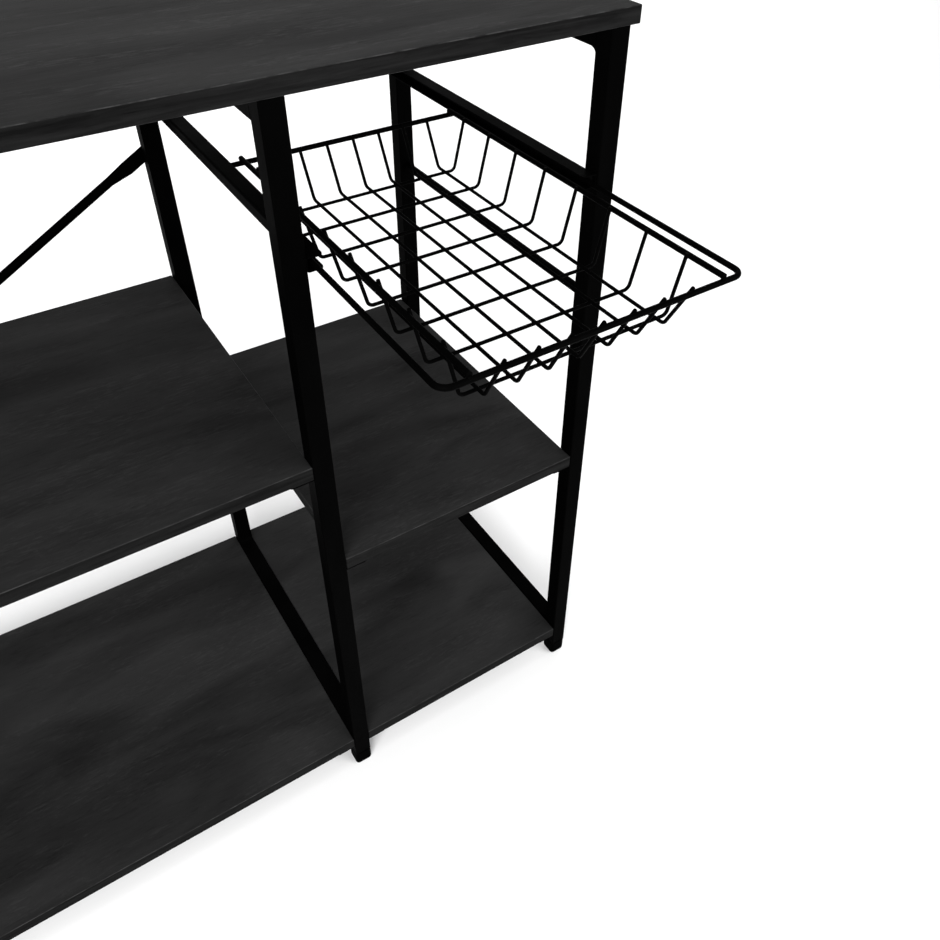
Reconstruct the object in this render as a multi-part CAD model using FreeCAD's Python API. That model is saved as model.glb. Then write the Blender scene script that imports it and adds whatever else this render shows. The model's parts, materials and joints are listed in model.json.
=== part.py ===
import FreeCAD, Part
import math
import os

# Kitchen rack: three side frames of square steel tube carry a worktop, two
# half-width shelves at different heights and a base shelf in two boards.
# A wire basket slides in two channel runners under the right of the worktop.
# Millimetres. X runs to the right, Y to the rear, Z up, and the floor is zero.
# The origin is on the floor, at the centre of the outline that the rack and
# its drawn basket cover.

Vector = FreeCAD.Vector
UP = Vector(0, 0, 1)
REARWARD = Vector(0, 1, 0)
FORWARD = Vector(0, -1, 0)
RIGHTWARD = Vector(1, 0, 0)

# Whole rack
overall_width = 900.0
frame_depth = 400.0
frame_height = 850.0
right_bay = 286.0
worktop_overhang = 10.0

# Square tube of the side frames
tube = 20.0
tube_wall = 1.2
tube_corner = 1.5
bottom_tube_top = 60.0
corner_weld = 7.0

# Round guard rod across each end frame
guard_rod = 10.0
guard_height_share = 0.6906

# Feet pushed into the posts
foot_height = 22.0
foot_width_share = 1.05
foot_edge = 4.0
foot_corner = 4.5
spigot_length = 16.0
spigot_gap = 0.2

# Boards
board = 15.0
board_arris = 0.6
board_gap = 0.3
left_shelf_share = 0.6071
right_shelf_share = 0.4459
base_shelf_drop = 2.0

# Tabs welded to the posts under each shelf
tab_length = 24.0
tab_width = 18.0
tab_thickness = 2.0
tab_corner = 4.0

# Pan-head wood screws
screw_shank = 3.5
screw_head = 7.5
screw_head_height = 2.4
screw_head_edge = 0.8
screw_bite = 11.0
screw_point = 3.0
pilot_gap = 0.1
pilot_end_gap = 1.0
worktop_screw_inset_share = 0.18

# Channel runners of the basket
runner_drop = 126.0
runner_height = 13.0
runner_width = 15.0
runner_wall = 1.2
runner_bend = 1.0
runner_inset = 2.0
runner_nose = 4.0
runner_screw = 4.0
runner_screw_head = 7.0
runner_screw_head_height = 0.8
runner_screw_reach = 5.0

# Cross brace on the back of the left bay
brace_rod = 10.0
brace_flat = 3.0
brace_flat_width = 16.0
brace_eye = 34.0
brace_taper = 24.0
brace_middle_flat = 26.0
brace_top_share = 0.7906
brace_bottom_share = 0.4153
bolt_shank = 5.0
bolt_head = 9.5
bolt_head_height = 3.0
bolt_reach = 6.0
bolt_socket = 3.0
bolt_socket_depth = 1.6
bolt_gap = 0.15
socket_sides = 6

# Wire basket
rim_wire = 5.0
mesh_wire = 3.2
rim_side_gap = 3.9
rim_beyond_frame = 4.0
rim_corner = 10.0
side_play = 1.5
side_wire_inset = 22.0
side_wire_overhang = 0.4
leg_overhang = 0.6
basket_depth = 45.0
side_lean = 12.0
end_lean = 22.0
mesh_bend = 6.0
cross_count = 8
cross_rear_gap = 34.6
cross_front_gap = 37.5
long_count = 7
long_edge_gap = 29.4
weld_sink = 0.3
basket_drawn_share = 0.4675
running_gap = 0.3

# Cuts run this far past the faces that they open
overrun = 1.0

# Places worked out from the sizes
half_width = overall_width / 2
left_frame_x = -half_width + worktop_overhang + tube / 2
right_frame_x = half_width - worktop_overhang - tube / 2
middle_frame_x = right_frame_x - right_bay - tube
frame_xs = {"left": left_frame_x, "middle": middle_frame_x, "right": right_frame_x}
basket_drawn = frame_depth * basket_drawn_share
front_y = (basket_drawn - frame_depth - brace_rod) / 2
rear_y = front_y + frame_depth
front_post_y = front_y + tube / 2
rear_post_y = rear_y - tube / 2
left_shelf_top = frame_height * left_shelf_share
right_shelf_top = frame_height * right_shelf_share
base_shelf_top = bottom_tube_top - base_shelf_drop
guard_height = frame_height * guard_height_share
brace_top_hole = frame_height * brace_top_share
brace_bottom_hole = frame_height * brace_bottom_share
runner_top = frame_height - runner_drop
basket_x = (middle_frame_x + right_frame_x) / 2 + side_play
rim_width = right_bay - 2 * rim_side_gap - rim_wire
rim_length = frame_depth + rim_beyond_frame - rim_wire
rim_z = runner_top - runner_height + runner_wall + running_gap + rim_wire / 2
rim_front_y = front_y - basket_drawn + rim_wire / 2
rim_rear_y = rim_front_y + rim_length
side_wire_span = rim_width - 2 * side_wire_inset
side_wire_z = rim_z + rim_wire - weld_sink
cross_pitch = (rim_length - cross_rear_gap - cross_front_gap) / (cross_count - 1)
long_pitch = (side_wire_span - 2 * long_edge_gap) / (long_count - 1)


def corner_arc(before, corner, after, radius):
    """Where a tangent arc of this radius enters and leaves a corner, and the arc."""
    back = (before - corner).normalize()
    ahead = (after - corner).normalize()
    half_turn = (math.pi - back.getAngle(ahead)) / 2
    reach = radius * math.tan(half_turn)
    enter = corner + back * reach
    leave = corner + ahead * reach
    inward = (back + ahead).normalize()
    middle = corner + inward * (radius / math.cos(half_turn) - radius)
    return enter, leave, Part.Arc(enter, middle, leave).toShape()


def outline(corners):
    """A closed wire through points that each carry a radius, zero where sharp."""
    rounded = []
    count = len(corners)
    for index, (point, radius) in enumerate(corners):
        before = corners[index - 1][0]
        after = corners[(index + 1) % count][0]
        if radius:
            rounded.append(corner_arc(before, point, after, radius))
        else:
            rounded.append((point, point, None))
    edges = []
    for index, (enter, leave, arc) in enumerate(rounded):
        following = rounded[(index + 1) % count][0]
        if arc:
            edges.append(arc)
        edges.append(Part.LineSegment(leave, following).toShape())
    return Part.Wire(edges)


def rounded_rectangle(width, height, radius, centre=Vector(0, 0, 0)):
    half_w = Vector(width / 2, 0, 0)
    half_h = Vector(0, height / 2, 0)
    points = [half_w + half_h, half_h - half_w, -half_w - half_h, half_w - half_h]
    return outline([(centre + point, radius) for point in points])


def square_tube(length):
    """A hollow square tube standing on the origin."""
    outer = rounded_rectangle(tube, tube, tube_corner)
    bore = tube - 2 * tube_wall
    inner = rounded_rectangle(bore, bore, tube_corner - tube_wall)
    section = Part.Face(outer).cut(Part.Face(inner))
    return section.extrude(Vector(0, 0, length)).Solids[0]


def along_y(shape):
    """Lay a shape that stands on the origin down towards the rear."""
    turned = shape.copy()
    turned.rotate(Vector(0, 0, 0), RIGHTWARD, -90)
    return turned


def moved(shape, x, y, z):
    copy = shape.copy()
    copy.translate(Vector(x, y, z))
    return copy


def drill(shape, diameter, start, direction, length):
    return shape.cut(Part.makeCylinder(diameter / 2, length, start, direction))


def export(node, shapes):
    """Write one node, as a single solid or as a group of separate solids."""
    solids = []
    for shape in shapes:
        solids.extend(shape.Solids)
    for solid in solids:
        if not solid.isValid() or solid.Volume <= 0:
            raise ValueError("bad solid in " + node)
    whole = solids[0] if len(solids) == 1 else Part.makeCompound(solids)
    whole.exportStep("parts/" + node + ".step")
    print(node, len(solids), "solids", round(sum(s.Volume for s in solids)), "mm3")


# Side frames

def brace_hole_heights(side):
    """Heights of the brace bolts on a rear post, if that frame carries the brace."""
    if side == "right":
        return []
    return [brace_top_hole, brace_bottom_hole]


def runner_faces(side):
    """Which way the runner on this frame faces, or zero where there is none."""
    return {"left": 0, "middle": 1, "right": -1}[side]


def runner_screw_z():
    return runner_top - runner_height / 2


def make_post(side, x, y):
    post = moved(square_tube(frame_height - foot_height), x, y, foot_height)
    if y == rear_post_y:
        for height in brace_hole_heights(side):
            start = Vector(x, rear_y + overrun, height)
            reach = tube_wall + 2 * overrun
            post = drill(post, bolt_shank + 2 * bolt_gap, start, FORWARD, reach)
    facing = runner_faces(side)
    if facing:
        start = Vector(x + facing * (tube / 2 + overrun), y, runner_screw_z())
        reach = tube_wall + 2 * overrun
        direction = Vector(-facing, 0, 0)
        post = drill(post, runner_screw + 2 * bolt_gap, start, direction, reach)
    return post


def cross_tube(x, top_z):
    tube_shape = along_y(square_tube(frame_depth - 2 * tube))
    return moved(tube_shape, x, front_y + tube, top_z - tube / 2)


def worktop_screw_ys():
    inset = frame_depth * worktop_screw_inset_share
    return [front_y + inset, rear_y - inset]


def top_tube(x):
    shape = cross_tube(x, frame_height)
    for y in worktop_screw_ys():
        start = Vector(x, y, frame_height - tube - overrun)
        diameter = screw_shank + 2 * bolt_gap
        shape = drill(shape, diameter, start, UP, tube + 2 * overrun)
    return shape


def corner_fillet(x, y, z, toward_y, toward_z):
    """The weld that rounds the inner corner between a post and a cross tube."""
    corner = Vector(x - tube / 2 + tube_corner, y, z)
    along_tube = corner + Vector(0, toward_y * corner_weld, 0)
    along_post = corner + Vector(0, 0, toward_z * corner_weld)
    slant = corner_weld * (1 - math.sqrt(0.5))
    middle = corner + Vector(0, toward_y * slant, toward_z * slant)
    profile = Part.Wire([
        Part.LineSegment(corner, along_tube).toShape(),
        Part.Arc(along_tube, middle, along_post).toShape(),
        Part.LineSegment(along_post, corner).toShape(),
    ])
    width = Vector(tube - 2 * tube_corner, 0, 0)
    return Part.Face(profile).extrude(width)


def frame_welds():
    welds = []
    for x in frame_xs.values():
        for y, toward_y in ((front_y + tube, 1), (rear_y - tube, -1)):
            welds.append(corner_fillet(x, y, frame_height - tube, toward_y, -1))
            welds.append(corner_fillet(x, y, bottom_tube_top, toward_y, 1))
    return welds


def guard(x):
    length = frame_depth - 2 * tube
    start = Vector(x, front_y + tube, guard_height)
    return Part.makeCylinder(guard_rod / 2, length, start, REARWARD)


def foot(x, y):
    """A rounded glide, a little wider than the post, with a spigot that fills it."""
    width = tube * foot_width_share
    section = Part.Face(rounded_rectangle(width, width, foot_corner))
    body = section.extrude(Vector(0, 0, foot_height))
    ground_edges = [edge for edge in body.Edges if edge.BoundBox.ZMax < foot_edge / 2]
    body = body.makeFillet(foot_edge, ground_edges)
    core = tube - 2 * tube_wall - 2 * spigot_gap
    spigot = Part.makeBox(
        core, core, spigot_length, Vector(-core / 2, -core / 2, foot_height))
    return moved(body.fuse(spigot).removeSplitter(), x, y, 0)


# Boards

def plain_board(x_low, x_high, top_z):
    slab = Part.makeBox(
        x_high - x_low, frame_depth, board, Vector(x_low, front_y, top_z - board))
    return slab.makeChamfer(board_arris, slab.Edges)


def pilot(shape, x, y, under_z):
    start = Vector(x, y, under_z - overrun)
    reach = overrun + screw_bite + pilot_end_gap
    return drill(shape, screw_shank + 2 * pilot_gap, start, UP, reach)


def worktop():
    shape = plain_board(-half_width, half_width, frame_height + board)
    for x in frame_xs.values():
        for y in worktop_screw_ys():
            shape = pilot(shape, x, y, frame_height)
    return shape


def shelf_bays():
    """Each shelf with the clear span that it fills and the height of its top."""
    half = tube / 2
    left_span = (left_frame_x + half, middle_frame_x - half)
    right_span = (middle_frame_x + half, right_frame_x - half)
    return {
        "left_shelf": (left_span, left_shelf_top),
        "right_shelf": (right_span, right_shelf_top),
        "left_base_shelf": (left_span, base_shelf_top),
        "right_base_shelf": (right_span, base_shelf_top),
    }


def tab_places(span):
    """Wall and post centre of the four tabs, with the way each one points."""
    places = []
    for wall, facing in ((span[0], 1), (span[1], -1)):
        for y in (front_post_y, rear_post_y):
            places.append((wall, y, facing))
    return places


def shelf(span, top_z):
    shape = plain_board(span[0] + board_gap, span[1] - board_gap, top_z)
    for wall, y, facing in tab_places(span):
        shape = pilot(shape, wall + facing * tab_length / 2, y, top_z - board)
    return shape


def tab(wall, y, facing, top_z):
    """A flat tab with two rounded corners, welded edge-on to a post."""
    low = Vector(min(wall, wall + facing * tab_length), y - tab_width / 2, top_z - tab_thickness)
    plate = Part.makeBox(tab_length, tab_width, tab_thickness, low)
    tip = wall + facing * tab_length
    corners = []
    for edge in plate.Edges:
        box = edge.BoundBox
        upright = box.ZLength > tab_thickness / 2
        if upright and abs(box.Center.x - tip) < tab_corner:
            corners.append(edge)
    plate = plate.makeFillet(tab_corner, corners)
    centre = Vector(wall + facing * tab_length / 2, y, top_z - tab_thickness - overrun)
    return drill(plate, screw_shank + 2 * bolt_gap, centre, UP, tab_thickness + 2 * overrun)


def wood_screw(grip):
    """A pan-head screw whose head bears on the origin plane from below."""
    shank = screw_shank / 2
    head = screw_head / 2
    end = grip + screw_bite
    sides = [
        (0, -screw_head_height), (head - screw_head_edge, -screw_head_height),
        (head, screw_head_edge - screw_head_height), (head, 0), (shank, 0),
        (shank, end - screw_point), (0, end),
    ]
    profile = outline([(Vector(radius, 0, height), 0) for radius, height in sides])
    return Part.Face(profile).revolve(Vector(0, 0, 0), UP, 360).Solids[0]


# Basket runners

def runner_section(facing, wall):
    """The folded channel seen from the front, open on the side that it faces."""
    top = runner_top
    low = runner_top - runner_height
    lip = wall + facing * runner_width
    inside = wall + facing * runner_wall
    outer_bend = runner_bend + runner_wall
    corners = [
        (lip, top, 0), (wall, top, outer_bend), (wall, low, outer_bend), (lip, low, 0),
        (lip, low + runner_wall, 0), (inside, low + runner_wall, runner_bend),
        (inside, top - runner_wall, runner_bend), (lip, top - runner_wall, 0),
    ]
    start = front_y + runner_inset
    return Part.Face(outline([(Vector(x, start, z), bend) for x, z, bend in corners]))


def runner(facing, wall):
    """A channel that opens towards the basket, closed by a folded tab at its rear."""
    length = frame_depth - 2 * runner_inset
    channel = runner_section(facing, wall).extrude(Vector(0, length, 0))
    clear = runner_width - runner_wall - runner_bend
    near = wall + facing * (runner_wall + runner_bend)
    stop = Part.makeBox(
        clear, runner_wall, runner_height - runner_wall,
        Vector(min(near, near + facing * clear), rear_y - runner_inset - runner_wall,
               runner_top - runner_height + runner_wall / 2))
    channel = channel.fuse(stop).removeSplitter()
    start_y = front_y + runner_inset
    lip = wall + facing * runner_width
    noses = []
    for edge in channel.Edges:
        box = edge.BoundBox
        upright = box.ZLength > runner_wall / 2 and box.YLength < runner_wall / 2
        at_front = box.Center.y < start_y + runner_wall / 2
        if upright and at_front and abs(box.Center.x - lip) < runner_wall / 2:
            noses.append(edge)
    channel = channel.makeFillet(runner_nose, noses)
    for y in (front_post_y, rear_post_y):
        at = Vector(wall - facing * overrun, y, runner_screw_z())
        reach = runner_wall + 2 * overrun
        direction = Vector(facing, 0, 0)
        channel = drill(channel, runner_screw + 2 * bolt_gap, at, direction, reach)
    return channel


def dome_bolt(shank, head, head_height, reach, socket, socket_depth):
    """A button-head bolt: head above the origin plane, shank below it."""
    shank_radius = shank / 2
    head_radius = head / 2
    crown = Vector(head_radius * math.sqrt(0.5), 0, head_height * math.sqrt(0.5))
    profile = Part.Wire([
        Part.Arc(Vector(0, 0, head_height), crown, Vector(head_radius, 0, 0)).toShape(),
        Part.LineSegment(Vector(head_radius, 0, 0), Vector(shank_radius, 0, 0)).toShape(),
        Part.LineSegment(Vector(shank_radius, 0, 0), Vector(shank_radius, 0, -reach)).toShape(),
        Part.LineSegment(Vector(shank_radius, 0, -reach), Vector(0, 0, -reach)).toShape(),
        Part.LineSegment(Vector(0, 0, -reach), Vector(0, 0, head_height)).toShape(),
    ])
    bolt = Part.Face(profile).revolve(Vector(0, 0, 0), UP, 360)
    corners = []
    for step in range(socket_sides):
        angle = 2 * math.pi * step / socket_sides
        corners.append(Vector(socket / 2 * math.cos(angle), socket / 2 * math.sin(angle),
                              head_height - socket_depth))
    recess = Part.Face(Part.makePolygon(corners + corners[:1]))
    recess = recess.extrude(Vector(0, 0, socket_depth + overrun))
    return bolt.cut(recess).Solids[0]


def runner_screws():
    bolt = dome_bolt(runner_screw, runner_screw_head, runner_screw_head_height,
                     runner_screw_reach, runner_screw / 2, runner_screw_head_height / 2)
    placed = []
    for side, x in frame_xs.items():
        facing = runner_faces(side)
        if not facing:
            continue
        for y in (front_post_y, rear_post_y):
            turned = bolt.copy()
            turned.rotate(Vector(0, 0, 0), REARWARD, 90 * facing)
            seat = x + facing * (tube / 2 + runner_wall)
            placed.append(moved(turned, seat, y, runner_screw_z()))
    return placed


# Cross brace

def flat_section(width, thickness, at, across):
    """A flattened ring of tube, drawn as a rectangle with rounded ends."""
    radius = thickness / 2
    side = across * (width / 2 - radius)
    back = REARWARD * radius
    tips = [across * (width / 2), across * (-width / 2)]
    return Part.Wire([
        Part.LineSegment(at - side + back, at + side + back).toShape(),
        Part.Arc(at + side + back, at + tips[0], at + side - back).toShape(),
        Part.LineSegment(at + side - back, at - side - back).toShape(),
        Part.Arc(at - side - back, at + tips[1], at - side + back).toShape(),
    ])


def round_section(at, along, across):
    """The round tube, cut at the same four corners as a flattened ring."""
    radius = brace_rod / 2
    side = across * (radius * math.sqrt(0.5))
    back = REARWARD * (radius * math.sqrt(0.5))
    return Part.Wire([
        Part.Arc(at - side + back, at + REARWARD * radius, at + side + back).toShape(),
        Part.Arc(at + side + back, at + across * radius, at + side - back).toShape(),
        Part.Arc(at + side - back, at - REARWARD * radius, at - side - back).toShape(),
        Part.Arc(at - side - back, at - across * radius, at - side + back).toShape(),
    ])


def brace(rising, middle_y):
    """One diagonal: round tube, flattened at both eyes and where the two cross."""
    ends_z = (brace_bottom_hole, brace_top_hole) if rising else (brace_top_hole, brace_bottom_hole)
    axis_y = rear_y + brace_rod / 2
    eye_y = rear_y + brace_flat / 2
    first = Vector(left_frame_x, 0, ends_z[0])
    last = Vector(middle_frame_x, 0, ends_z[1])
    along = (last - first).normalize()
    across = along.cross(REARWARD)
    length = first.distanceToPoint(last)

    def place(distance, y):
        return first + along * distance + Vector(0, y, 0)

    half_flat = brace_middle_flat / 2
    stations = [
        (brace_eye, eye_y, False),
        (brace_eye + brace_taper, axis_y, True),
        (length / 2 - half_flat - brace_taper, axis_y, True),
        (length / 2 - half_flat, middle_y, False),
        (length / 2 + half_flat, middle_y, False),
        (length / 2 + half_flat + brace_taper, axis_y, True),
        (length - brace_eye - brace_taper, axis_y, True),
        (length - brace_eye, eye_y, False),
    ]
    sections = []
    for distance, y, is_round in stations:
        at = place(distance, y)
        if is_round:
            sections.append(round_section(at, along, across))
        else:
            sections.append(flat_section(brace_flat_width, brace_flat, at, across))
    rod = Part.makeLoft(sections, True, True)
    for distance, way in ((0, 1), (length, -1)):
        root = place(distance, eye_y)
        eye = Part.makeCylinder(
            brace_flat_width / 2, brace_flat, root - REARWARD * (brace_flat / 2), REARWARD)
        strap = flat_section(brace_flat_width, brace_flat, root, across)
        strap = Part.Face(strap).extrude(along * (way * brace_eye))
        rod = rod.fuse([eye, strap])
    hole = bolt_shank + 2 * bolt_gap
    for distance in (0, length / 2, length):
        rod = drill(rod, hole, place(distance, rear_y - overrun), REARWARD, brace_rod + 2 * overrun)
    return rod.removeSplitter()


def brace_bolts():
    bolt = dome_bolt(bolt_shank, bolt_head, bolt_head_height,
                     brace_flat + tube_wall + bolt_reach, bolt_socket, bolt_socket_depth)
    bolt.rotate(Vector(0, 0, 0), RIGHTWARD, -90)
    placed = []
    for x in (left_frame_x, middle_frame_x):
        for height in (brace_top_hole, brace_bottom_hole):
            placed.append(moved(bolt, x, rear_y + brace_flat, height))
    return placed


def crossing_rivet():
    """The rivet that pins the two flattened middles together."""
    grip = 2 * brace_flat
    x = (left_frame_x + middle_frame_x) / 2
    z = (brace_top_hole + brace_bottom_hole) / 2
    head_height = (brace_rod - grip) / 2
    start = Vector(x, rear_y, z)
    shank = Part.makeCylinder(bolt_shank / 2, brace_rod, start, REARWARD)
    near = Part.makeCone(bolt_shank / 2, bolt_head / 2, head_height, start, REARWARD)
    far_start = start + REARWARD * (brace_rod - head_height)
    far = Part.makeCone(bolt_head / 2, bolt_shank / 2, head_height, far_start, REARWARD)
    return shank.fuse([near, far]).removeSplitter()


# Wire basket

def bent_wire(points, diameter, bend):
    """A round wire through the points, with a tangent arc at each inner one."""
    edges = []
    start = points[0]
    for before, corner, after in zip(points, points[1:], points[2:]):
        enter, leave, arc = corner_arc(before, corner, after, bend)
        edges.append(Part.LineSegment(start, enter).toShape())
        edges.append(arc)
        start = leave
    edges.append(Part.LineSegment(start, points[-1]).toShape())
    path = Part.Wire(edges)
    heading = (points[1] - points[0]).normalize()
    ring = Part.Wire(Part.makeCircle(diameter / 2, points[0], heading))
    return path.makePipeShell([ring], True, False).Solids[0]


def basket_rim():
    """The outer wire, bent into a rounded rectangle from two equal halves."""
    half = rim_width / 2
    halves = []
    for side in (-1, 1):
        x = basket_x + side * half
        points = [
            Vector(basket_x, rim_front_y, rim_z), Vector(x, rim_front_y, rim_z),
            Vector(x, rim_rear_y, rim_z), Vector(basket_x, rim_rear_y, rim_z),
        ]
        halves.append(bent_wire(points, rim_wire, rim_corner))
    return halves[0].fuse(halves[1]).removeSplitter()


def basket_side_wires():
    """Two straight wires that lie across the front and rear of the rim."""
    start_y = rim_front_y - side_wire_overhang
    length = rim_length + 2 * side_wire_overhang
    wires = []
    for side in (-1, 1):
        start = Vector(basket_x + side * side_wire_span / 2, start_y, side_wire_z)
        wires.append(Part.makeCylinder(rim_wire / 2, length, start, REARWARD))
    return wires


def sloped_u(near, far, lean, seat_z, bottom_z, axis):
    """Centre line of a U whose legs lean in towards its floor from where they are welded."""
    top_z = seat_z + rim_wire / 2 + leg_overhang
    outward = lean * (top_z - seat_z) / (seat_z - bottom_z)
    heights = [top_z, bottom_z, bottom_z, top_z]
    spans = [near - outward, near + lean, far - lean, far + outward]
    return [axis(span, height) for span, height in zip(spans, heights)]


def cross_wires():
    """U-shaped wires from side to side, welded inside the two side wires."""
    reach = (side_wire_span - rim_wire - mesh_wire) / 2 + weld_sink
    wires = []
    for index in range(cross_count):
        y = rim_rear_y - cross_rear_gap - index * cross_pitch
        points = sloped_u(
            basket_x - reach, basket_x + reach, side_lean, side_wire_z, rim_z - basket_depth,
            lambda span, height: Vector(span, y, height))
        wires.append(bent_wire(points, mesh_wire, mesh_bend))
    return wires


def long_wires():
    """U-shaped wires from front to rear, lying on the cross wires."""
    inset = (rim_wire + mesh_wire) / 2 - weld_sink
    floor_z = rim_z - basket_depth + mesh_wire - weld_sink
    wires = []
    for index in range(long_count):
        x = basket_x + (index - (long_count - 1) / 2) * long_pitch
        points = sloped_u(
            rim_front_y + inset, rim_rear_y - inset, end_lean, rim_z, floor_z,
            lambda span, height: Vector(x, span, height))
        wires.append(bent_wire(points, mesh_wire, mesh_bend))
    return wires


def build():
    os.makedirs("parts", exist_ok=True)
    for side, x in frame_xs.items():
        export(side + "_front_post", [make_post(side, x, front_post_y)])
        export(side + "_rear_post", [make_post(side, x, rear_post_y)])
        export(side + "_top_tube", [top_tube(x)])
        export(side + "_bottom_tube", [cross_tube(x, bottom_tube_top)])
    export("left_guard_rod", [guard(left_frame_x)])
    export("right_guard_rod", [guard(right_frame_x)])
    export("frame_corner_welds", frame_welds())
    feet = [foot(x, y) for x in frame_xs.values() for y in (front_post_y, rear_post_y)]
    export("feet", feet)

    export("worktop", [worktop()])
    screw = wood_screw(tube)
    screws = []
    for x in frame_xs.values():
        for y in worktop_screw_ys():
            screws.append(moved(screw, x, y, frame_height - tube))
    export("worktop_screws", screws)

    screw = wood_screw(tab_thickness)
    tabs = []
    screws = []
    for node, (span, top_z) in shelf_bays().items():
        export(node, [shelf(span, top_z)])
        under = top_z - board
        for wall, y, facing in tab_places(span):
            tabs.append(tab(wall, y, facing, under))
            centre = wall + facing * tab_length / 2
            screws.append(moved(screw, centre, y, under - tab_thickness))
    export("shelf_tabs", tabs)
    export("shelf_screws", screws)

    half = tube / 2
    export("left_runner", [runner(1, middle_frame_x + half)])
    export("right_runner", [runner(-1, right_frame_x - half)])
    export("runner_screws", runner_screws())

    middle = rear_y + brace_rod / 2
    export("rising_brace", [brace(True, middle - brace_flat / 2)])
    export("falling_brace", [brace(False, middle + brace_flat / 2)])
    export("brace_bolts", brace_bolts())
    export("brace_rivet", [crossing_rivet()])

    export("basket_rim", [basket_rim()])
    export("basket_side_wires", basket_side_wires())
    export("basket_cross_wires", cross_wires())
    export("basket_long_wires", long_wires())


build()
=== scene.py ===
import json
import math

import bmesh
import bpy
from mathutils import Matrix, Vector


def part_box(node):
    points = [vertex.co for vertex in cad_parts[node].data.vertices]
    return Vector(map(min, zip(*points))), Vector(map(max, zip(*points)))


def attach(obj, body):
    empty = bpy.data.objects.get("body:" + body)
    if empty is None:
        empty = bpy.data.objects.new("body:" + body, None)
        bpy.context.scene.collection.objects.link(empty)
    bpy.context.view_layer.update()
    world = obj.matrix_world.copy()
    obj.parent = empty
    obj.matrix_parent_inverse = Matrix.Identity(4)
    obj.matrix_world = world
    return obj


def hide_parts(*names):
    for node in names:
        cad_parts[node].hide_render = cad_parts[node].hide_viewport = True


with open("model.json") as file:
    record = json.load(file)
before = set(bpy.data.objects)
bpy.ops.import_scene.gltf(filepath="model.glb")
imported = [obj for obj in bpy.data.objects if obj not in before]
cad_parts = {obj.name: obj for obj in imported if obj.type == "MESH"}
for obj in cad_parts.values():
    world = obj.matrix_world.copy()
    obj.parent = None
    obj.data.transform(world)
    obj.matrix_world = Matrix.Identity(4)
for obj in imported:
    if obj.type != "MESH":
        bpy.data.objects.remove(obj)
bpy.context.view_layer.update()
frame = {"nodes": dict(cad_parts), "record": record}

nodes = frame["nodes"]

# The sizes of new pieces are named in millimetres, and this turns them into metres
MM = 0.001


# Shared effects

def new_group(name, inputs, outputs):
    """A shader node group with float inputs and outputs, and its two end nodes."""
    group = bpy.data.node_groups.new(name, "ShaderNodeTree")
    for label, value in inputs.items():
        socket = group.interface.new_socket(
            label, in_out="INPUT", socket_type="NodeSocketFloat")
        socket.default_value = value
    for label in outputs:
        group.interface.new_socket(label, in_out="OUTPUT", socket_type="NodeSocketFloat")
    return group, group.nodes.new("NodeGroupInput"), group.nodes.new("NodeGroupOutput")


def math_node(tree, operation, first, second=None, clamp=False):
    node = tree.nodes.new("ShaderNodeMath")
    node.operation = operation
    node.use_clamp = clamp
    for index, value in enumerate((first, second)):
        if value is None:
            continue
        if isinstance(value, (int, float)):
            node.inputs[index].default_value = value
        else:
            tree.links.new(value, node.inputs[index])
    return node.outputs[0]


def stretched_noise(tree, coordinates, cells, detail, roughness, distortion=0.0):
    """Noise with this many cells to the metre along X, Y and Z."""
    mapping = tree.nodes.new("ShaderNodeMapping")
    mapping.inputs["Scale"].default_value = cells
    tree.links.new(coordinates, mapping.inputs["Vector"])
    noise = tree.nodes.new("ShaderNodeTexNoise")
    noise.inputs["Scale"].default_value = 1.0
    noise.inputs["Detail"].default_value = detail
    noise.inputs["Roughness"].default_value = roughness
    noise.inputs["Distortion"].default_value = distortion
    tree.links.new(mapping.outputs["Vector"], noise.inputs["Vector"])
    return noise.outputs["Fac"]


def rising_mask(tree, value, start, end, least=0.0):
    """A mask that rises from its least level to one as the value goes from start to end."""
    node = tree.nodes.new("ShaderNodeValToRGB")
    for stop, position, level in zip(
            node.color_ramp.elements, (start, end), (least, 1.0)):
        stop.position = position
        stop.color = (level, level, level, 1.0)
    tree.links.new(value, node.inputs["Fac"])
    return node.outputs["Color"]


def weighted_sum(tree, parts):
    """Add up several values, each with its own weight."""
    total = None
    for value, weight in parts:
        part = math_node(tree, "MULTIPLY", value, weight)
        total = part if total is None else math_node(tree, "ADD", total, part)
    return total


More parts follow.
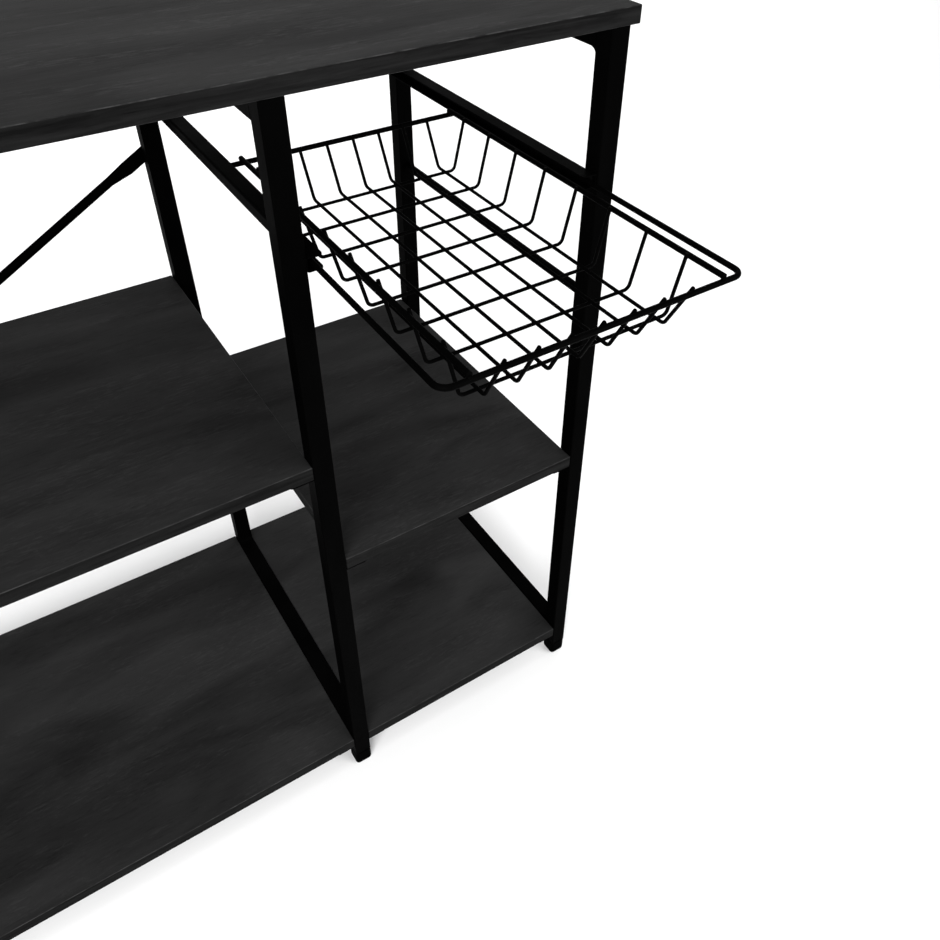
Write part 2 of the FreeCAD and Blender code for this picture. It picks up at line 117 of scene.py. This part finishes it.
def wood_grain_group():
    """Printed grain along X: cloudy bands, fine streaks, and pale flecks that lie in drifts."""
    group, entry, exit_node = new_group(
        "wood_grain", {"Clouds": 1.0, "Streaks": 1.0, "Flecks": 1.0}, ("Tone", "Relief"))
    coordinates = group.nodes.new("ShaderNodeTexCoord").outputs["Object"]

    def layer(cells, detail, roughness, distortion, start, end, least=0.0):
        noise = stretched_noise(group, coordinates, cells, detail, roughness, distortion)
        return rising_mask(group, noise, start, end, least)

    clouds = layer(cells=(4.6, 13.0, 13.0), detail=2.0, roughness=0.40, distortion=0.8,
                   start=0.30, end=0.72)
    streaks = layer(cells=(9.0, 150.0, 150.0), detail=5.0, roughness=0.64, distortion=0.8,
                    start=0.34, end=0.66)
    drifts = layer(cells=(5.0, 30.0, 30.0), detail=3.0, roughness=0.60, distortion=0.8,
                   start=0.44, end=0.60, least=0.08)
    flecks = layer(cells=(70.0, 360.0, 360.0), detail=3.0, roughness=0.70, distortion=0.6,
                   start=0.50, end=0.64)
    pores = layer(cells=(46.0, 420.0, 420.0), detail=2.0, roughness=0.60, distortion=0.3,
                  start=0.56, end=0.68)
    flecks = math_node(group, "MULTIPLY", flecks, drifts)
    clouds = math_node(group, "MULTIPLY", clouds, entry.outputs["Clouds"])
    streaks = math_node(group, "MULTIPLY", streaks, entry.outputs["Streaks"])
    flecks = math_node(group, "MULTIPLY", flecks, entry.outputs["Flecks"])
    darkest = 0.10
    tone = weighted_sum(
        group, ((clouds, 0.44), (streaks, 0.20), (flecks, 0.40), (pores, -0.12)))
    tone = math_node(group, "ADD", tone, darkest, clamp=True)
    relief = weighted_sum(group, ((streaks, 0.3), (flecks, 0.5), (pores, -0.6)))
    group.links.new(tone, exit_node.inputs["Tone"])
    group.links.new(relief, exit_node.inputs["Relief"])
    return group


def board_face_group():
    """Tells a board's arris, where a painted highlight lies broken up by noise, and its upright
    banded edges from the flat faces.
    """
    group, entry, exit_node = new_group("board_faces", {"Glint": 1.0}, ("Arris highlight", "Band"))
    coordinates = group.nodes.new("ShaderNodeTexCoord").outputs["Object"]
    facing = group.nodes.new("ShaderNodeSeparateXYZ")
    geometry = group.nodes.new("ShaderNodeNewGeometry")
    group.links.new(geometry.outputs["True Normal"], facing.inputs[0])

    # How much of the face's normal lies along Z: nothing on an edge, all of it on a flat face
    edge_limit, flat_limit = 0.35, 0.92
    along_z = math_node(group, "ABSOLUTE", facing.outputs["Z"])
    band = math_node(group, "LESS_THAN", along_z, edge_limit)
    not_edge = math_node(group, "GREATER_THAN", along_z, edge_limit)
    not_flat = math_node(group, "LESS_THAN", along_z, flat_limit)
    # Noise breaks the painted highlight on the arris into patches
    glint_breakup = stretched_noise(
        group, coordinates, cells=(60.0, 60.0, 60.0), detail=3.0, roughness=0.6)
    glint_breakup = rising_mask(group, glint_breakup, start=0.42, end=0.64)
    arris = math_node(group, "MULTIPLY", math_node(group, "MULTIPLY", not_edge, not_flat), glint_breakup)
    arris = math_node(group, "MULTIPLY", arris, entry.outputs["Glint"])
    group.links.new(arris, exit_node.inputs["Arris highlight"])
    group.links.new(band, exit_node.inputs["Band"])
    return group


def powder_group():
    """The fine orange peel of a baked coat, with faint handling marks."""
    group, entry, exit_node = new_group(
        "powder_coat", {"Peel": 900.0, "Marks": 1.0}, ("Relief", "Sheen mask"))
    coordinates = group.nodes.new("ShaderNodeTexCoord").outputs["Object"]
    peel = group.nodes.new("ShaderNodeTexNoise")
    peel.inputs["Detail"].default_value = 2.0
    group.links.new(coordinates, peel.inputs["Vector"])
    group.links.new(entry.outputs["Peel"], peel.inputs["Scale"])
    marks = stretched_noise(
        group, coordinates, cells=(14.0, 14.0, 5.6), detail=5.0, roughness=0.6)
    marks = rising_mask(group, marks, start=0.35, end=0.70)
    marks = math_node(group, "MULTIPLY", marks, entry.outputs["Marks"])
    group.links.new(peel.outputs["Fac"], exit_node.inputs["Relief"])
    group.links.new(marks, exit_node.inputs["Sheen mask"])
    return group


wood_grain = wood_grain_group()
board_faces = board_face_group()
powder_coat = powder_group()


# Materials

def place_group(tree, group, values):
    node = tree.nodes.new("ShaderNodeGroup")
    node.node_tree = group
    for label, value in values.items():
        node.inputs[label].default_value = value
    return node


def new_material(name):
    material = bpy.data.materials.new(name)
    material.use_nodes = True
    tree = material.node_tree
    return material, tree, tree.nodes["Principled BSDF"]


def grey(level):
    return (level, level, level)


def mix_tones(tree, factor, dark, light):
    """Blend two tones, each a plain colour or the output of another node."""
    node = tree.nodes.new("ShaderNodeMix")
    node.data_type = "RGBA"
    for label, tone in (("A", dark), ("B", light)):
        if isinstance(tone, tuple):
            node.inputs[label].default_value = (*tone, 1.0)
        else:
            tree.links.new(tone, node.inputs[label])
    tree.links.new(factor, node.inputs["Factor"])
    return node.outputs["Result"]


def map_range(tree, value, low, high):
    node = tree.nodes.new("ShaderNodeMapRange")
    node.inputs["To Min"].default_value = low
    node.inputs["To Max"].default_value = high
    tree.links.new(value, node.inputs["Value"])
    return node.outputs["Result"]


def bump(tree, shader, height, strength, distance):
    node = tree.nodes.new("ShaderNodeBump")
    node.inputs["Strength"].default_value = strength
    node.inputs["Distance"].default_value = distance
    tree.links.new(height, node.inputs["Height"])
    tree.links.new(node.outputs["Normal"], shader.inputs["Normal"])


def board_material(name, face_greys, band_greys, arris_highlight_grey, grain_values, roughness, shine):
    """Dark printed laminate with a darker streaked edge band and a painted highlight along the
    arris.
    """
    material, tree, shader = new_material(name)
    grain = place_group(tree, wood_grain, grain_values)
    band_grain = place_group(tree, wood_grain, {"Clouds": 0.4, "Streaks": 3.0, "Flecks": 0.5})
    places = place_group(tree, board_faces, {"Glint": 1.0})
    face = mix_tones(tree, grain.outputs["Tone"], *map(grey, face_greys))
    band = mix_tones(tree, band_grain.outputs["Tone"], *map(grey, band_greys))
    colour = mix_tones(tree, places.outputs["Band"], face, band)
    # The arris gets a lighter grey: a painted highlight standing in for a glint on the edge
    colour = mix_tones(tree, places.outputs["Arris highlight"], colour, grey(arris_highlight_grey))
    tree.links.new(colour, shader.inputs["Base Color"])
    duller, glossier = roughness + 0.05, roughness - 0.07
    gloss = map_range(tree, grain.outputs["Tone"], duller, glossier)
    tree.links.new(gloss, shader.inputs["Roughness"])
    shader.inputs["Specular IOR Level"].default_value = shine
    bump(tree, shader, grain.outputs["Relief"], strength=0.22, distance=0.2 * MM)
    return material


def coat_material(name, greys, roughness, peel, shine):
    """A black coat with a fine peel and faint marks."""
    material, tree, shader = new_material(name)
    coat = place_group(tree, powder_coat, {"Peel": peel, "Marks": 1.0})
    marks = coat.outputs["Sheen mask"]
    tree.links.new(mix_tones(tree, marks, *map(grey, greys)), shader.inputs["Base Color"])
    duller, glossier = roughness + 0.05, roughness - 0.05
    tree.links.new(map_range(tree, marks, duller, glossier), shader.inputs["Roughness"])
    shader.inputs["Specular IOR Level"].default_value = shine
    bump(tree, shader, coat.outputs["Relief"], strength=0.12, distance=0.1 * MM)
    return material


def zinc_material():
    """Bright zinc on the wood screws, with a duller grey bloom."""
    material, tree, shader = new_material("zinc plated screw")
    coat = place_group(tree, powder_coat, {"Peel": 3000.0, "Marks": 1.0})
    marks = coat.outputs["Sheen mask"]
    bloom, bright = (0.42, 0.42, 0.43), (0.60, 0.60, 0.60)
    tree.links.new(mix_tones(tree, marks, bloom, bright), shader.inputs["Base Color"])
    duller, glossier = 0.42, 0.28
    tree.links.new(map_range(tree, marks, duller, glossier), shader.inputs["Roughness"])
    shader.inputs["Metallic"].default_value = 1.0
    bump(tree, shader, coat.outputs["Relief"], strength=0.1, distance=0.1 * MM)
    return material


materials = {
    # The arris greys are painted highlights along the boards' edges
    "worktop_board": board_material(
        "worktop laminate",
        face_greys=(0.0044, 0.0205), band_greys=(0.0008, 0.0100), arris_highlight_grey=0.030,
        grain_values={"Clouds": 0.9, "Streaks": 0.7, "Flecks": 1.0},
        roughness=0.56, shine=0.016),
    "shelf_board": board_material(
        "shelf laminate",
        face_greys=(0.0058, 0.0252), band_greys=(0.0014, 0.0090), arris_highlight_grey=0.027,
        grain_values={"Clouds": 1.2, "Streaks": 0.34, "Flecks": 0.6},
        roughness=0.62, shine=0.016),
    "frame_coat": coat_material(
        "black powder coat",
        greys=(0.0003, 0.0008), roughness=0.50, peel=1400.0, shine=0.003),
    "basket_coat": coat_material(
        "black coated wire",
        greys=(0.0004, 0.0008), roughness=0.46, peel=2600.0, shine=0.004),
    "foot_plastic": coat_material(
        "moulded black plastic",
        greys=(0.0003, 0.0006), roughness=0.60, peel=3200.0, shine=0.003),
    "bolt_black": coat_material(
        "blackened bolt",
        greys=(0.0012, 0.0024), roughness=0.34, peel=2400.0, shine=0.030),
    "screw_steel": zinc_material(),
}


def dress_cad_nodes():
    """Give every node of the frame the finish of its material slot."""
    slots = {entry["node"]: entry["material_slot"] for entry in frame["record"]["subparts"]}
    for name, node in nodes.items():
        finish = materials[slots[name]]
        if not node.material_slots:
            node.data.materials.append(finish)
        for slot in node.material_slots:
            slot.material = finish


dress_cad_nodes()


# Modelling helpers

def nothing_selected():
    bpy.ops.object.select_all(action="DESELECT")


def select_only(piece):
    nothing_selected()
    piece.select_set(True)
    bpy.context.view_layer.objects.active = piece


def begin_shaping():
    bpy.ops.object.mode_set(mode="EDIT")
    bpy.ops.mesh.select_mode(type="FACE")
    bpy.ops.mesh.select_all(action="DESELECT")


def end_shaping():
    """Turn every face outwards, leave edit mode and return the piece."""
    bpy.ops.mesh.select_all(action="SELECT")
    bpy.ops.mesh.normals_make_consistent(inside=False)
    bpy.ops.object.mode_set(mode="OBJECT")
    return bpy.context.object


def pick_faces(test):
    """Select the faces whose middle and normal pass the test, and no others."""
    mesh = bpy.context.edit_object.data
    editing = bmesh.from_edit_mesh(mesh)
    for face in editing.faces:
        face.select_set(test(face.calc_center_median(), face.normal))
    bmesh.update_edit_mesh(mesh)


def pick_points(test):
    """Select the points whose place passes the test, and no others."""
    mesh = bpy.context.edit_object.data
    editing = bmesh.from_edit_mesh(mesh)
    for point in editing.verts:
        point.select_set(test(point.co))
    editing.select_flush(True)
    bmesh.update_edit_mesh(mesh)


def faces_up(middle, normal):
    return normal.z > 0.9


def faces_down(middle, normal):
    return normal.z < -0.9


def turn_profile(rings, start_radius, start_z):
    """Draw the picked round face along Z through rings, each a radius and a height, in mm."""
    radius, z = start_radius, start_z
    for next_radius, next_z in rings:
        rise = (next_z - z) * MM
        bpy.ops.mesh.extrude_region_move(TRANSFORM_OT_translate={"value": (0.0, 0.0, rise)})
        ratio = next_radius / radius
        bpy.ops.transform.resize(
            value=(ratio, ratio, 1.0), center_override=(0.0, 0.0, next_z * MM))
        radius, z = next_radius, next_z


def apply_modifier(piece, kind, **settings):
    select_only(piece)
    modifier = piece.modifiers.new(kind.title(), kind)
    for label, value in settings.items():
        setattr(modifier, label, value)
    bpy.ops.object.modifier_apply(modifier=modifier.name)


def soften(piece, degrees):
    """Shade as smooth every edge that turns by less than this."""
    select_only(piece)
    bpy.ops.object.shade_smooth_by_angle(angle=math.radians(degrees))


def moved_to(x, y, z):
    return Matrix.Translation(Vector((x, y, z)))


def place_copies(pattern, name, placements):
    """Copy the pattern to each place, join the copies into one piece, and remove the pattern."""
    copies = []
    for placement in placements:
        copy = pattern.copy()
        copy.data = pattern.data.copy()
        copy.data.transform(placement)
        bpy.context.scene.collection.objects.link(copy)
        copies.append(copy)
    nothing_selected()
    for copy in copies:
        copy.select_set(True)
    bpy.context.view_layer.objects.active = copies[0]
    bpy.ops.object.join()
    whole = bpy.context.object
    whole.name = name
    whole.data.name = name
    bpy.data.objects.remove(pattern)
    return whole


def dress(piece, body, slot):
    """Let the piece ride on a body and give it the finish of a material slot."""
    piece.data.materials.clear()
    piece.data.materials.append(materials[slot])
    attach(piece, body)


def post_middles():
    """Where the middle of each side frame's posts lies along X."""
    middles = []
    for side in ("left", "middle", "right"):
        low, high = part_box(side + "_front_post")
        middles.append((low[0] + high[0]) / 2)
    return middles


POST_XS = post_middles()


# Pan-head wood screws, in millimetres. Rings are a radius and a height

SHANK_RADIUS = 1.75
HEAD_RADIUS = 3.75
HEAD_HEIGHT = 2.4
HEAD_RINGS = (
    (3.60, 0.0), (HEAD_RADIUS, -0.25), (3.74, -1.35), (3.52, -1.85),
    (3.05, -2.18), (2.40, -2.36), (1.90, -HEAD_HEIGHT))
CORE_RADIUS = 1.30
THREAD_TURNS = 6
THREAD_PITCH = 1.25
# Heights within one turn, as shares of the pitch
THREAD_RINGS = (
    (CORE_RADIUS, 0.35), (SHANK_RADIUS, 0.62), (SHANK_RADIUS, 0.74), (CORE_RADIUS, 1.0))
SCREW_BITE = 11.0
# Heights below the tip
POINT_RINGS = ((CORE_RADIUS, 3.0), (0.75, 1.3), (0.20, 0.1))

DRIVE_WIDTH = 3.3
DRIVE_MOUTH_Z = -2.6
DRIVE_DEPTH = 1.7
DRIVE_TAPER = 0.45

TUBE = 20.0
TAB_LENGTH = 24.0
TAB_THICKNESS = 2.0
# Between a shelf's side and the posts that its tabs are welded to
BOARD_GAP = 0.3


def cross_cutter():
    """The tapered cross that sinks the drive into a screw head from below."""
    nothing_selected()
    bpy.ops.mesh.primitive_grid_add(
        x_subdivisions=3, y_subdivisions=3, size=DRIVE_WIDTH * MM,
        location=(0.0, 0.0, DRIVE_MOUTH_Z * MM))
    bpy.ops.object.transform_apply(location=True, rotation=False, scale=False)
    begin_shaping()
    # Each arm is one of the three cells wide, so the four corner cells go
    half_arm = DRIVE_WIDTH * MM / 3 / 2
    pick_faces(lambda middle, normal: min(abs(middle.x), abs(middle.y)) > half_arm)
    bpy.ops.mesh.delete(type="FACE")
    bpy.ops.mesh.select_all(action="SELECT")
    bpy.ops.mesh.extrude_region_move(
        TRANSFORM_OT_translate={"value": (0.0, 0.0, DRIVE_DEPTH * MM)})
    bpy.ops.transform.resize(
        value=(DRIVE_TAPER, DRIVE_TAPER, 1.0),
        center_override=(0.0, 0.0, (DRIVE_MOUTH_Z + DRIVE_DEPTH) * MM))
    return end_shaping()


def wood_screw(grip):
    """A pan head under the origin, a shank through the grip, then thread and point."""
    nothing_selected()
    bpy.ops.mesh.primitive_cylinder_add(
        vertices=24, radius=SHANK_RADIUS * MM, depth=grip * MM,
        location=(0.0, 0.0, grip * MM / 2))
    bpy.ops.object.transform_apply(location=True, rotation=False, scale=False)
    begin_shaping()
    pick_faces(faces_down)
    turn_profile(HEAD_RINGS, SHANK_RADIUS, 0.0)
    above_head = grip * MM / 2
    pick_faces(lambda middle, normal: faces_up(middle, normal) and middle.z > above_head)
    thread = [
        (radius, grip + (turn + share) * THREAD_PITCH)
        for turn in range(THREAD_TURNS) for radius, share in THREAD_RINGS]
    point = [(radius, grip + SCREW_BITE - below) for radius, below in POINT_RINGS]
    turn_profile(thread + point, SHANK_RADIUS, grip)
    screw = end_shaping()
    cutter = cross_cutter()
    apply_modifier(screw, "BOOLEAN", operation="DIFFERENCE", solver="EXACT", object=cutter)
    bpy.data.objects.remove(cutter)
    soften(screw, 35.0)
    return screw


def fit_worktop_screws():
    """Six screws pass up through the top tubes into the worktop."""
    low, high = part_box("worktop_screws")
    seat = low[2] + HEAD_HEIGHT * MM
    rows = (low[1] + HEAD_RADIUS * MM, high[1] - HEAD_RADIUS * MM)
    places = [moved_to(x, y, seat) for x in POST_XS for y in rows]
    screws = place_copies(wood_screw(TUBE), "worktop_wood_screws", places)
    dress(screws, "rack", "screw_steel")
    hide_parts("worktop_screws")


def fit_shelf_screws():
    """Sixteen short screws hold the four shelves down on their tabs."""
    places = []
    for shelf in ("left_shelf", "right_shelf", "left_base_shelf", "right_base_shelf"):
        low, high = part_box(shelf)
        seat = low[2] - TAB_THICKNESS * MM
        inset = (TAB_LENGTH / 2 - BOARD_GAP) * MM
        columns = (low[0] + inset, high[0] - inset)
        rows = (low[1] + TUBE * MM / 2, high[1] - TUBE * MM / 2)
        places += [moved_to(x, y, seat) for x in columns for y in rows]
    screws = place_copies(wood_screw(TAB_THICKNESS), "shelf_wood_screws", places)
    dress(screws, "rack", "screw_steel")
    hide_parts("shelf_screws")


# Ripples on the frame welds, in millimetres

BEAD_LEG = 7.0
BEAD_LENGTH = 17.0
BEAD_COLUMNS = 18
BEAD_SKIN = 0.5
# From the weld's curve out to the middle of the skin in front of it
BEAD_STAND = 0.3
RIPPLE_SCALE = 0.95


def ripple_bead():
    """A curved skin with raised ripples, in the corner at the origin towards +Y and -Z."""
    leg = BEAD_LEG * MM
    nothing_selected()
    bpy.ops.mesh.primitive_grid_add(
        x_subdivisions=BEAD_COLUMNS, y_subdivisions=1, size=1.0, location=(0.0, 0.0, 0.0))
    begin_shaping()
    bpy.ops.mesh.select_all(action="SELECT")
    bpy.ops.transform.resize(
        value=(BEAD_LENGTH * MM, BEAD_SKIN * MM, 1.0), center_override=(0.0, 0.0, 0.0))
    bpy.ops.transform.rotate(
        value=math.pi / 2, orient_axis="X", center_override=(0.0, 0.0, 0.0))
    bpy.ops.transform.translate(value=(0.0, leg, -BEAD_STAND * MM))
    bpy.ops.mesh.spin(
        steps=8, angle=-math.pi / 2, center=(0.0, leg, -leg), axis=(1.0, 0.0, 0.0))
    column_width = BEAD_LENGTH * MM / BEAD_COLUMNS
    last_column = BEAD_COLUMNS // 2

    def on_a_ripple(place):
        column = round(place.x / column_width)
        in_front = math.hypot(place.y - leg, place.z + leg) < leg - BEAD_STAND * MM
        return in_front and column % 2 == 0 and abs(column) < last_column

    pick_points(on_a_ripple)
    bpy.ops.transform.resize(
        value=(1.0, RIPPLE_SCALE, RIPPLE_SCALE), center_override=(0.0, leg, -leg))
    return end_shaping()


def lay_frame_beads():
    """Twelve beads over the welds that round the inner corners of the side frames."""
    (_, front, under), (_, rear, _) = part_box("middle_top_tube")
    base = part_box("middle_bottom_tube")[1][2]
    corners = ((front, under, 0.0), (front, base, 90.0), (rear, base, 180.0), (rear, under, 270.0))
    places = []
    for x in POST_XS:
        for y, z, degrees in corners:
            turn = Matrix.Rotation(math.radians(degrees), 4, "X")
            places.append(moved_to(x, y, z) @ turn)
    beads = place_copies(ripple_bead(), "frame_weld_ripples", places)
    apply_modifier(beads, "SUBSURF", levels=1, render_levels=1)
    soften(beads, 60.0)
    dress(beads, "rack", "frame_coat")


# Resistance welds of the basket, in millimetres

MESH_WIRE = 3.2
RIM_WIRE = 5.0
CROSS_WIRES = 8
LONG_WIRES = 7
NUGGET_DEPTH = 0.5
NUGGET_CAP = ((0.86, 0.52), (0.45, 0.76))
# Radii of the nuggets where wires cross, where legs end and where the side wires bear
CROSSING_NUGGET = 1.65
LEG_NUGGET = 1.8
BEARING_NUGGET = 2.3


def weld_nugget():
    """A squeezed bead of metal, its long way along Z, one millimetre in radius."""
    nothing_selected()
    bpy.ops.mesh.primitive_cylinder_add(vertices=8, radius=1.0 * MM, depth=NUGGET_DEPTH * MM)
    begin_shaping()
    pick_faces(faces_up)
    turn_profile(NUGGET_CAP, 1.0, NUGGET_DEPTH / 2)
    pick_faces(faces_down)
    turn_profile([(radius, -z) for radius, z in NUGGET_CAP], 1.0, -NUGGET_DEPTH / 2)
    return end_shaping()


def evenly_spaced(first, last, count):
    return [first + (last - first) * index / (count - 1) for index in range(count)]


def lay_basket_nuggets():
    """Resistance welds where the basket's wires cross, end and bear on the rim."""
    rim_low, rim_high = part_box("basket_rim")
    cross_low, cross_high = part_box("basket_cross_wires")
    long_low, long_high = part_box("basket_long_wires")
    side_low, side_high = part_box("basket_side_wires")
    mesh_wire = MESH_WIRE * MM
    rim_wire = RIM_WIRE * MM
    cross_ys = evenly_spaced(
        cross_low[1] + mesh_wire / 2, cross_high[1] - mesh_wire / 2, CROSS_WIRES)
    long_xs = evenly_spaced(
        long_low[0] + mesh_wire / 2, long_high[0] - mesh_wire / 2, LONG_WIRES)
    floor_z = cross_low[2] + mesh_wire
    rim_z = (rim_low[2] + rim_high[2]) / 2
    side_z = (side_low[2] + side_high[2]) / 2
    upright = Matrix.Identity(4)
    sideways = Matrix.Rotation(math.pi / 2, 4, "Y")
    lengthways = Matrix.Rotation(math.pi / 2, 4, "X")

    def nugget(x, y, z, turn, size):
        return moved_to(x, y, z) @ turn @ Matrix.Scale(size, 4)

    places = [
        nugget(x, y, floor_z, upright, CROSSING_NUGGET) for x in long_xs for y in cross_ys]
    for x in (side_low[0] + rim_wire, side_high[0] - rim_wire):
        places += [nugget(x, y, side_z, sideways, LEG_NUGGET) for y in cross_ys]
    for y in (rim_low[1] + rim_wire, rim_high[1] - rim_wire):
        places += [nugget(x, y, rim_z, lengthways, LEG_NUGGET) for x in long_xs]
    bearing_z = (rim_z + side_z) / 2
    for x in (side_low[0] + rim_wire / 2, side_high[0] - rim_wire / 2):
        for y in (rim_low[1] + rim_wire / 2, rim_high[1] - rim_wire / 2):
            places.append(nugget(x, y, bearing_z, upright, BEARING_NUGGET))
    nuggets = place_copies(weld_nugget(), "basket_weld_nuggets", places)
    soften(nuggets, 60.0)
    dress(nuggets, "basket", "basket_coat")


fit_worktop_screws()
fit_shelf_screws()
lay_frame_beads()
lay_basket_nuggets()


# Studio

def studio_floor():
    nothing_selected()
    bpy.ops.mesh.primitive_plane_add(size=14.0, location=(0.0, 0.0, 0.0))
    floor = bpy.context.object
    floor.name = "studio_floor"
    material, tree, shader = new_material("pale studio floor")
    coordinates = tree.nodes.new("ShaderNodeTexCoord").outputs["Object"]
    cloud = stretched_noise(tree, coordinates, cells=(3.0, 3.0, 3.0), detail=3.0, roughness=0.55)
    tree.links.new(mix_tones(tree, cloud, grey(0.77), grey(0.79)), shader.inputs["Base Color"])
    shader.inputs["Roughness"].default_value = 0.85
    shader.inputs["Specular IOR Level"].default_value = 0.2
    floor.data.materials.append(material)


def area_light(name, place, target, size, power):
    data = bpy.data.lights.new(name, "AREA")
    data.shape = "RECTANGLE"
    data.size, data.size_y = size
    data.energy = power
    light = bpy.data.objects.new(name, data)
    bpy.context.scene.collection.objects.link(light)
    light.location = place
    aim = Vector(target) - Vector(place)
    light.rotation_euler = aim.to_track_quat("-Z", "Y").to_euler()


def studio_lights():
    """Soft light from both front sides and above, and one that keeps the far floor pale."""
    world = bpy.data.worlds.new("studio")
    world.use_nodes = True
    sky = world.node_tree.nodes["Background"]
    sky.inputs["Color"].default_value = (1.0, 1.0, 1.0, 1.0)
    sky.inputs["Strength"].default_value = 0.60
    bpy.context.scene.world = world
    area_light("key", place=(-1.9, -2.3, 1.9), target=(0.0, 0.0, 0.3),
               size=(1.8, 1.8), power=152.0)
    area_light("top", place=(0.2, 0.3, 3.2), target=(0.0, 0.4, 0.0),
               size=(2.6, 2.0), power=30.0)
    area_light("fill", place=(1.8, -2.4, 1.5), target=(0.1, 0.0, 0.3),
               size=(1.8, 1.8), power=66.0)
    area_light("backdrop", place=(1.9, 2.9, 2.2), target=(1.9, 2.9, 0.0),
               size=(5.8, 2.0), power=90.0)


def plain_colours():
    """Colours come out as the lights give them, so that the pale floor stays pale."""
    bpy.context.scene.view_settings.view_transform = "Standard"
    bpy.context.scene.view_settings.look = "None"


def camera():
    """The camera stands before the left bay, above the worktop, and looks down to the right."""
    yaw, pitch, roll = 0.5810, -0.6806, 0.0085
    place = Vector((-81.0, -679.9, 1065.0)) * MM
    sensor = 36.0
    # In pixels of the picture
    picture = 940.0
    focal_length = 882.705
    centre_across, centre_down = 478.199, 402.710
    data = bpy.data.cameras.new("camera")
    data.sensor_width = sensor
    data.lens = focal_length / picture * sensor
    data.shift_x = (picture / 2 - centre_across) / picture
    data.shift_y = (centre_down - picture / 2) / picture
    data.clip_start = 0.01
    data.clip_end = 100.0
    view = bpy.data.objects.new("camera", data)
    bpy.context.scene.collection.objects.link(view)
    turn = Matrix.Rotation(-yaw, 4, "Z") @ Matrix.Rotation(math.pi / 2 + pitch, 4, "X")
    turn = turn @ Matrix.Rotation(roll, 4, "Z")
    view.matrix_world = Matrix.Translation(place) @ turn
    bpy.context.scene.camera = view


studio_floor()
studio_lights()
plain_colours()
camera()
